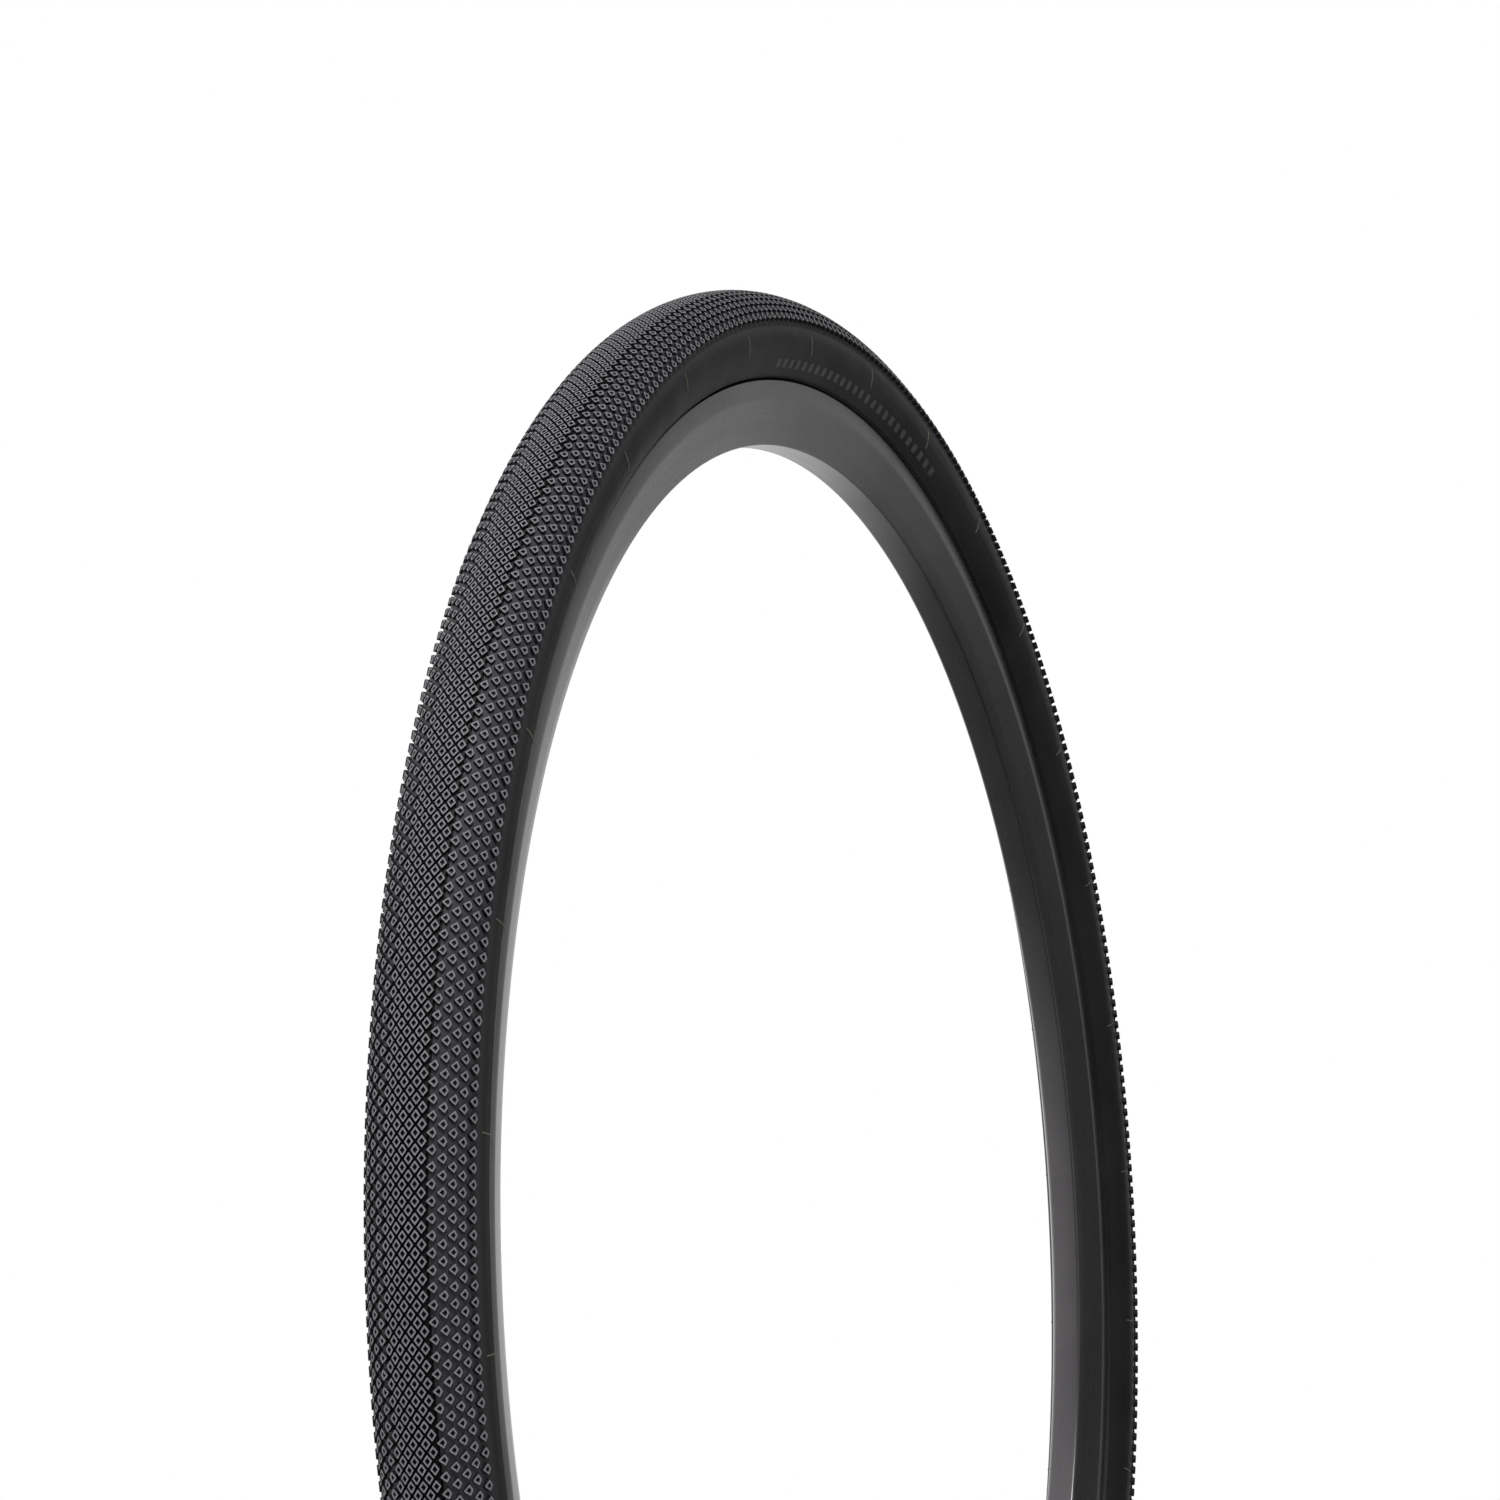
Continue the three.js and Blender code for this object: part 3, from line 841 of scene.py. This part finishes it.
def casing_layers():
    """The puncture belt, and the cord ply that runs from bead to bead and folds round each core."""
    belt = arc(BREAKER[0], -BREAKER_EDGE, BREAKER_EDGE, 24)
    belt += arc(BREAKER[1], BREAKER_EDGE, -BREAKER_EDGE, 24)
    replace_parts(ring("puncture_belt", belt, ARAMID), "breaker_belt")
    hook = [
        (LEG_OUTER, BEAD_TOP - GAP),
        (LEG_OUTER, POCKET_BOTTOM),
        (FOLD_INNER, POCKET_BOTTOM),
        (FOLD_INNER, BEAD_TOP),
        (FOLD_OUTER, BEAD_TOP),
        (FOLD_OUTER, FOLD_BOTTOM),
        (LEG_INNER, FOLD_BOTTOM),
        (LEG_INNER, BEAD_TOP),
    ]
    half = arc(CASING[0], 0, PLY_EDGE, 30) + hook + arc(CASING[1], PLY_EDGE, 0, 30)
    ply = half + mirrored(half)[1:-1]
    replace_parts(ring("cord_ply", ply, NYLON), "casing_ply")


def bead(hand, side):
    """The rounded aramid core in its pocket, and the cloth strip between it and the rim."""
    middle = (FOLD_INNER + LEG_OUTER) / 2
    low = POCKET_BOTTOM + GAP
    half_width = (FOLD_INNER - LEG_OUTER) / 2 - GAP
    core = fillet([
        (side * (middle - half_width), low, 0.8),
        (side * (middle + half_width), low, 0.8),
        (side * (middle + half_width), low + CORE_HEIGHT, 0.8),
        (side * (middle - half_width), low + CORE_HEIGHT, 0.8),
    ])
    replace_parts(ring(f"bead_hoop_{hand}", core, ARAMID), f"bead_core_{hand}")
    strip = fillet([
        (side * CHAFER_OUTER, FLANGE_TOP - 0.1, 0.15),
        (side * CHAFER_OUTER, CHAFER_BOTTOM, 0.7),
        (side * SEAT_INNER_EDGE, CHAFER_BOTTOM, 0.15),
        (side * SEAT_INNER_EDGE, CHAFER_BOTTOM + CHAFER_THICKNESS, 0.15),
        (side * CHAFER_INNER, CHAFER_BOTTOM + CHAFER_THICKNESS, 0.3),
        (side * CHAFER_INNER, FLANGE_TOP - 0.1, 0.15),
    ])
    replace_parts(ring(f"chafer_strip_{hand}", strip, CHAFER), f"chafer_{hand}")


def tube_outline(depth, wall, neck_top):
    """The tube's outline, drawn in by a wall's thickness down where it lies between the beads."""
    neck = TUBE_NECK - wall
    half = arc(depth, 0, PLY_EDGE, 30) + [(neck, neck_top), (neck, TUBE_BOTTOM + wall)]
    return half + mirrored(half)[:-1]


def inner_tube():
    """The inflated tube: a skin with its air cut out, and a hole for the valve's neck."""
    skin = tube_outline(TUBE[0], 0, BEAD_TOP + GAP)
    tube = new_object("butyl_tube", *revolve(skin, HIDDEN_SEGMENTS))
    hollow = tube_outline(TUBE[1], TUBE_WALL, BEAD_TOP + 2 * GAP)
    air = new_object("air", *revolve(hollow, HIDDEN_SEGMENTS))
    carve(tube, [air, drill(STEM_NECK + GAP, TUBE_BOTTOM, TUBE_BOTTOM + TUBE_WALL)])
    finish_piece(tube, BUTYL)
    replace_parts(tube, "inner_tube")


def rim_tape():
    """Woven tape in the well, between the rim and the tube."""
    strip = fillet(both_sides([(TAPE_HALF_WIDTH, TAPE[0], 0.18), (TAPE_HALF_WIDTH, TAPE[1], 0.18)]))
    tape = new_object("well_tape", *revolve(strip, HIDDEN_SEGMENTS))
    carve(tape, [drill(STEM_RADIUS + GAP, *TAPE)])
    finish_piece(tape, TAPE_CLOTH)
    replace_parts(tape, "rim_tape")


# ---- Rim ------------------------------------------------------------------------------------------


def drill(radius, inner_wall, outer_wall, flare=0.0):
    """A cutter along the valve's axis, through a wall between two distances from the axle.

    Its mouth towards the axle can flare, which leaves a countersink.
    """
    beyond = 1
    bottom = -outer_wall - beyond
    top = -inner_wall + 3 * flare + beyond
    profile = [
        (0, bottom), (radius, bottom), (radius, -inner_wall - flare),
        (radius + flare, -inner_wall), (radius + 4 * flare, top), (0, top),
    ]
    cutter = new_object("drill", *lathe(profile, 32))
    weld(cutter)
    return cutter


def slant_inner(radius):
    """How far the slanted side's inner face lies from the middle plane at a radius."""
    slope = (RIM_HALF_WIDTH - BED_HALF_WIDTH) / (FLANGE_FOOT - BED_RADIUS)
    return BED_HALF_WIDTH + slope * (radius - BED_RADIUS) - RIM_WALL * math.hypot(1, slope)


def chamber(clearance):
    """The outline of the rim's hollow, drawn in from its walls by a clearance."""
    low = BED_RADIUS + BED_THICKNESS + clearance
    shoulder = SEAT_RADIUS - RIM_WALL - clearance
    half = [
        (slant_inner(low) - clearance, low, 0.6),
        (slant_inner(shoulder) - clearance, shoulder, 0.6),
        (SEAT_INNER_EDGE + RIM_WALL + clearance, shoulder, 0.4),
        (WELL_HALF_WIDTH + RIM_WALL + clearance, WELL_RADIUS - RIM_WALL - clearance, 0.6),
    ]
    return fillet(both_sides(half), steps=2)


def rim():
    """The hollow extrusion, bent to a hoop with its ends meeting at the joint, with the valve's hole."""
    inner = RIM_HALF_WIDTH - FLANGE_THICKNESS
    half = [
        (BED_HALF_WIDTH, BED_RADIUS, 1.2),
        (*SLANT_BEND, 3.0),
        (RIM_HALF_WIDTH, FLANGE_FOOT, 6.0),
        (RIM_HALF_WIDTH, FLANGE_TOP, 0.5),
        (inner, FLANGE_TOP, 0.5),
        (inner, SEAT_RADIUS, 0.6),
        (SEAT_INNER_EDGE, SEAT_RADIUS, 0.5),
        (WELL_HALF_WIDTH, WELL_RADIUS, 0.8),
    ]
    half_gap = math.degrees(RIM_JOINT_GAP / 2 / FLANGE_FOOT)
    start = RIM_JOINT_ANGLE + half_gap
    sweep = 360 - 2 * half_gap
    obj = new_object("rim_extrusion", *revolve(fillet(both_sides(half)), SMOOTH_SEGMENTS, start, sweep))
    hollow = new_object("hollow", *revolve(chamber(0), HIDDEN_SEGMENTS))
    carve(obj, [hollow, drill(STEM_RADIUS + GAP, BED_RADIUS, WELL_RADIUS, flare=0.3)])
    finish_piece(obj, RIM, crease=40)
    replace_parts(obj, "rim")


def rim_sleeve():
    """The pressed-in block that joins the ends of the extrusion."""
    sweep = math.degrees(RIM_SLEEVE_LENGTH / BED_RADIUS)
    block = new_object("joint_sleeve", *revolve(chamber(GAP), 12, RIM_JOINT_ANGLE - sweep / 2, sweep))
    finish_piece(block, RAW_ALUMINIUM, crease=50)
    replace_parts(block, "rim_joint_sleeve")


# ---- Valve ----------------------------------------------------------------------------------------


def thread_side(radius, low, high, pitch):
    """Closely spaced outline points up a straight side, which a thread is then cut into."""
    count = round((high - low) / (pitch / POINTS_PER_TURN))
    return [(radius, low + (high - low) * i / count) for i in range(count + 1)]


def cut_thread(vertices, crest, depth, pitch, low, high):
    """Sinks a screw thread into the points that lie on a cylinder between two heights."""
    x, y, z = vertices.T
    radius = np.hypot(x, y)
    phase = (z / pitch - np.arctan2(y, x) / (2 * math.pi)) % 1
    # A triangle wave with its tips cut flat: 0 at the root of the thread and 1 on its crest.
    ridge = np.clip(1.4 * (1 - 2 * np.abs(phase - 0.5)) - 0.2, 0, 1)
    ends = np.clip(np.minimum(z - low, high - z) / pitch, 0, 1)
    sunk = depth * (1 - ridge) * ends * (np.abs(radius - crest) < 0.01)
    scale = (radius - sunk) / np.maximum(radius, 0.01)
    return np.column_stack((x * scale, y * scale, z))


def knurl(vertices, radius, depth, count, low, high):
    """Sinks upright grooves into the points outside a radius, between two heights."""
    x, y, z = vertices.T
    reach = np.hypot(x, y)
    groove = depth * (0.5 - 0.5 * np.cos(count * np.arctan2(y, x)))
    sunk = groove * (reach > radius) * (z > low) * (z < high)
    scale = (reach - sunk) / np.maximum(reach, 0.01)
    return np.column_stack((x * scale, y * scale, z))


def valve_piece(name, vertices, faces, material, node, body="tire_and_rim"):
    """A finished piece of the valve, which stands for its CAD node."""
    obj = new_object(name, vertices, faces)
    weld(obj)
    finish_piece(obj, material, crease=32, body=body)
    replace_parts(obj, node)


def valve_stem():
    """The stem: foot inside the tube, shoulder under the patch, thread up to the core's socket."""
    low, high = cad_span("valve_stem")
    shoulder = -TAPE[1]
    thread_low = shoulder + 1.5
    thread_high = high - 0.6
    bore = 1.8
    foot = 3.1
    socket = 2.3
    socket_floor = high - 12
    profile = ([(bore, low), (foot, low), (foot, low + 0.7), (2.8, low + 1), (STEM_NECK, low + 1),
                (STEM_NECK, shoulder), (STEM_RADIUS, shoulder)]
               + thread_side(STEM_RADIUS, thread_low, thread_high, STEM_PITCH)
               + [(STEM_RADIUS - 0.35, high), (socket, high), (socket, socket_floor), (bore, socket_floor)])
    vertices, faces = lathe(profile, 40)
    vertices = cut_thread(vertices, STEM_RADIUS, 0.34, STEM_PITCH, thread_low, thread_high)
    valve_piece("valve_stem_threaded", vertices, faces, NICKEL, "valve_stem")


def valve_core():
    """The core: a sleeve down in the stem and a head with two flats for its wrench."""
    low, high = cad_span("valve_core_body")
    head = high - 4.2
    bore = 0.95
    half_flats = 2.05
    profile = [(bore, low), (1.7, low), (2.0, low + 0.4), (2.0, head), (2.35, head), (2.6, head + 0.25),
               (2.6, head + 0.75), (2.35, head + 1.0), (2.35, head + 3.2), (1.9, high - 0.15),
               (1.75, high), (bore, high)]
    vertices, faces = lathe(profile, 64)
    on_head = vertices[:, 2] > head + 0.9
    vertices[on_head, 1] = np.clip(vertices[on_head, 1], -half_flats, half_flats)
    valve_piece("valve_core_flats", vertices, faces, BRASS, "valve_core_body")


def valve_plunger():
    """The threaded rod with its head below the seal and a peened tip that keeps the nut on."""
    low, high = cad_span("valve_plunger")
    thread_low = high - 11
    thread_high = high - 0.9
    profile = ([(0, low), (0.9, low), (1.3, low + 0.3), (1.3, low + 0.8), (PLUNGER_RADIUS, low + 0.8)]
               + thread_side(PLUNGER_RADIUS, thread_low, thread_high, PLUNGER_PITCH)
               + [(0.6, high - 0.75), (0.85, high - 0.45), (0.7, high - 0.1), (0.3, high), (0, high)])
    vertices, faces = lathe(profile, 24)
    vertices = cut_thread(vertices, PLUNGER_RADIUS, 0.14, PLUNGER_PITCH, thread_low, thread_high)
    valve_piece("valve_plunger_rod", vertices, faces, BRASS, "valve_plunger", "plunger")


def valve_seal():
    """The rubber sleeve on the rod, which the rod's head pulls against the core."""
    low, high = cad_span("valve_plunger_seal")
    profile = fillet([
        (0.95, low, 0.1), (1.5, low, 0.4), (1.5, high - 0.7, 0.3), (1.2, high, 0.1), (0.95, high, 0.1),
    ])
    vertices, faces = lathe(profile, 32)
    valve_piece("valve_seal_sleeve", vertices, faces, SEAL, "valve_plunger_seal", "plunger")


def valve_tip_nut():
    """The small knurled nut on the rod's threaded end."""
    low, high = cad_span("valve_tip_nut")
    profile = fillet([
        (0.8, low, 0.1), (1.5, low, 0.1), (1.75, low + 0.6, 0.1),
        (1.75, high - 0.5, 0.2), (1.45, high, 0.15), (0.8, high, 0.1),
    ])
    vertices, faces = lathe(profile, 96)
    vertices = knurl(vertices, 1.4, 0.16, 16, low + 0.4, high - 0.2)
    valve_piece("valve_tip_nut_knurled", vertices, faces, BRASS, "valve_tip_nut", "tip_nut")


def valve_lock_nut():
    """The knurled ring nut that holds the stem against the rim."""
    low, high = cad_span("valve_lock_nut")
    profile = fillet([
        (3.1, low, 0.2), (4.85, low, 0.25), (4.85, high - 1.1, 0.4), (3.9, high, 0.4), (3.1, high, 0.2),
    ])
    vertices, faces = lathe(profile, 192)
    vertices = knurl(vertices, 4.5, 0.22, 32, low + 0.3, high - 0.9)
    valve_piece("valve_ring_nut", vertices, faces, NICKEL, "valve_lock_nut", "lock_nut")


def valve_cap():
    """The dust cap: ribbed for the fingers, tapered to a rounded closed top."""
    low, high = cad_span("valve_cap")
    profile = fillet([
        (3.9, low, 0.3), (3.9, low + 1.0, 0), (3.9, low + 1.5, 0),
        (3.9, high - 8.6, 0), (3.9, high - 8.1, 0), (3.9, high - 6.5, 1.5),
        (2.5, high, 1.0), (0, high, 0), (0, high - 1.2, 0),
        (1.4, high - 1.2, 0.3), (3.2, high - 7.7, 0.5), (3.2, low, 0.15),
    ])
    vertices, faces = lathe(profile, 192)
    vertices = knurl(vertices, 3.5, 0.3, 24, low + 1.2, high - 8.3)
    valve_piece("valve_dust_cap", vertices, faces, CAP, "valve_cap", "cap")


def valve_patch():
    """The oval rubber patch around the stem, lying in the well and feathered at its edge."""
    half_length = 15.0
    half_width = 3.6
    hole = STEM_NECK + GAP
    spokes = 48
    rings = 5
    vertices, faces = [], []
    for base, feather in ((PATCH[1], 0.35), (PATCH[0], 0.0)):
        for i in range(rings + 1):
            share = i / rings
            for k in range(spokes):
                angle = 2 * math.pi * k / spokes
                x = math.cos(angle) * (hole + (half_length - hole) * share)
                y = math.sin(angle) * (hole + (half_width - hole) * share)
                radius = base - feather * share ** 3
                vertices.append((x, y, -math.sqrt(radius ** 2 - x ** 2)))
    layer = spokes * (rings + 1)
    for k in range(spokes):
        j = (k + 1) % spokes
        for i in range(rings):
            a = i * spokes + k
            b = i * spokes + j
            faces.append((a, b, b + spokes, a + spokes))
            faces.append((layer + a, layer + a + spokes, layer + b + spokes, layer + b))
        faces.append((k, layer + k, layer + j, j))
        last = rings * spokes
        faces.append((last + k, last + j, layer + last + j, layer + last + k))
    obj = new_object("valve_rubber_patch", vertices, faces)
    finish_piece(obj, BUTYL)
    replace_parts(obj, "valve_patch")


# ---- Studio ---------------------------------------------------------------------------------------

CAMERA_LENS = 103.983
CAMERA_PLACE = (-1.490137, -0.560797, -0.131175)
CAMERA_DIRECTION = (0.911891, 0.361127, 0.195042)
KEY_PLACE = (-2.1, -0.9, 2.3)
KEY_SIZE = 1.0
KEY_POWER = 62

# The floor, in metres: its width, the gap below the tire, and how far from the point under the wheel's
# centre its fade to white starts and ends.
FLOOR_WIDTH = 40
FLOOR_GAP = 0.0005
FLOOR_FADE = (0.6, 2.6)

# The light of the surroundings, as (position, level) from in front of the wheel, 0, to behind it, 1.
BEHIND = (0.35, 1.0, 0.0)
GLOW = [(0.0, 0.26), (0.06, 0.22), (0.14, 0.02), (0.30, 0.06), (0.45, 0.42), (0.55, 0.44), (0.8, 1.0)]

# The heights, from -1 straight down, between which that light rises from dim to full, and how dim.
GROUND_FADE = (-0.85, -0.25)
GROUND_LIGHT = 0.12


def aim(obj, place, direction):
    """Adds a camera or lamp to the scene at a place, looking along a direction."""
    bpy.context.scene.collection.objects.link(obj)
    obj.location = place
    obj.rotation_euler = Vector(direction).to_track_quat("-Z", "Y").to_euler()


def camera():
    """A long lens below the axle, looking up at the wheel."""
    data = bpy.data.cameras.new("camera")
    data.sensor_width = 36.0
    data.lens = CAMERA_LENS
    obj = bpy.data.objects.new("camera", data)
    aim(obj, CAMERA_PLACE, CAMERA_DIRECTION)
    bpy.context.scene.camera = obj


def floor():
    """A pale floor that fades into the white surroundings, kept out of the rim's reflections."""
    lowest = cad_bounds[0][2]
    bpy.ops.mesh.primitive_plane_add(size=FLOOR_WIDTH, location=(0, 0, lowest - FLOOR_GAP))
    obj = bpy.context.object
    obj.name = "floor"
    s = Shader("floor_paint", roughness=0.6)
    s.colour(s.ramp(s.noise(2.0), [(0.3, (0.79, 0.79, 0.79)), (0.7, (0.81, 0.81, 0.81))]))
    fade = s.scaled(s.length(s.place), 0.0, 1.0, *FLOOR_FADE)
    s.bsdf.inputs["Emission Color"].default_value = (1.0, 1.0, 1.0, 1.0)
    s.link(s.math("MULTIPLY", fade, s.camera_ray()), s.bsdf.inputs["Emission Strength"])
    obj.data.materials.append(s.material)
    obj.visible_glossy = False


def key_light():
    """One soft lamp, high behind the camera, aimed at the wheel's centre."""
    data = bpy.data.lights.new("key", "AREA")
    data.size = KEY_SIZE
    data.energy = KEY_POWER
    aim(bpy.data.objects.new("key", data), KEY_PLACE, -Vector(KEY_PLACE))


def world():
    """Soft surroundings: white to the camera, bright behind the wheel, and a softer glow in front."""
    studio = bpy.data.worlds.new("studio")
    bpy.context.scene.world = studio
    studio.use_nodes = True
    n = Nodes(studio.node_tree)
    background = n.nodes["Background"]
    background.inputs["Color"].default_value = (1.0, 1.0, 1.0, 1.0)
    direction = n.nodes.new("ShaderNodeTexCoord").outputs["Generated"]
    behind = n.scaled(n.along(direction, BEHIND), 0.0, 1.0, -1.0, 1.0)
    glow = n.ramp(behind, [(position, (level, level, level)) for position, level in GLOW])
    ground = n.scaled(n.split(direction)["Z"], GROUND_LIGHT, 1.0, *GROUND_FADE)
    light = n.math("MULTIPLY", glow, ground)
    n.link(n.math("MAXIMUM", light, n.camera_ray()), background.inputs["Strength"])


# ---- Build ----------------------------------------------------------------------------------------

camera()
floor()
world()
key_light()
bpy.context.scene.view_settings.view_transform = "Standard"

tread()
tread_base()
vent_hairs()
casing_layers()
for hand, side in (("left", 1), ("right", -1)):
    sidewall(hand, side)
    side_print(hand, side)
    mould_ticks(hand, side)
    bead(hand, side)
inner_tube()
rim_tape()
rim()
rim_sleeve()
valve_patch()
valve_stem()
valve_core()
valve_plunger()
valve_seal()
valve_tip_nut()
valve_lock_nut()
valve_cap()
